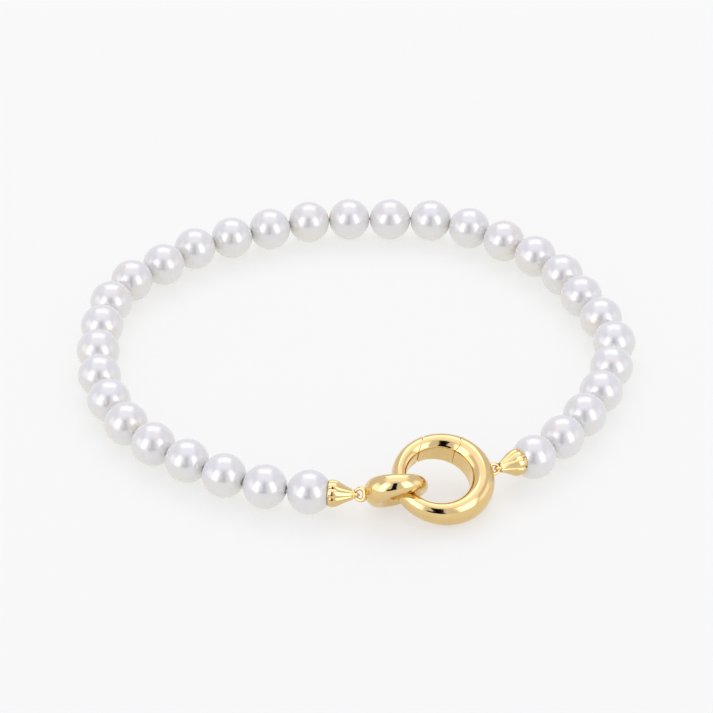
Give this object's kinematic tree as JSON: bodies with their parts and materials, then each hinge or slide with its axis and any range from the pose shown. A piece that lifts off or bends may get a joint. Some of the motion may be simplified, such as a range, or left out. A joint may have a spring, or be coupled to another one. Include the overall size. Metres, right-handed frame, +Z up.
{
  "type": "pearl bracelet",
  "caption": "Round white pearls strung side by side, closed at the front by fluted gold caps, a tapered gold link and a round gold clasp with a hinged gate.",
  "frame": {"origin": "middle of the bracelet's footprint, on the plane that it lies on", "axes": "+X across the bracelet to the side of the right-hand cap, +Y from the clasp at the front to the back of the string, +Z up"},
  "size_m": [0.0656, 0.0614, 0.0061],
  "materials": {
    "pearl": "white nacre, high lustre",
    "gold": "polished pale yellow gold plate",
    "thread": "twisted white silk"
  },
  "bodies": {
    "bracelet": {"pearl_01": "pearl", "pearl_02": "pearl", "pearl_03": "pearl", "pearl_04": "pearl", "pearl_05": "pearl", "pearl_06": "pearl", "pearl_07": "pearl", "pearl_08": "pearl", "pearl_09": "pearl", "pearl_10": "pearl", "pearl_11": "pearl", "pearl_12": "pearl", "pearl_13": "pearl", "pearl_14": "pearl", "pearl_15": "pearl", "pearl_16": "pearl", "pearl_17": "pearl", "pearl_18": "pearl", "pearl_19": "pearl", "pearl_20": "pearl", "pearl_21": "pearl", "pearl_22": "pearl", "pearl_23": "pearl", "pearl_24": "pearl", "pearl_25": "pearl", "pearl_26": "pearl", "pearl_27": "pearl", "pearl_28": "pearl", "pearl_29": "pearl", "pearl_30": "pearl", "pearl_31": "pearl", "pearl_32": "pearl", "thread": "thread", "cap_left": "gold", "cap_right": "gold", "link": "gold", "clasp_ring": "gold", "hinge_pin": "gold"},
    "gate": {"gate": "gold"}
  },
  "joints": [
    {"name": "gate_hinge", "type": "hinge", "parent": "bracelet", "child": "gate", "pos_m": [0.01055, -0.02128, 0.00407], "axis": [0.1043, -0.285, 0.9528], "range_deg": [0, 28], "stiffness_Nm_per_rad": 0.0005}
  ]
}
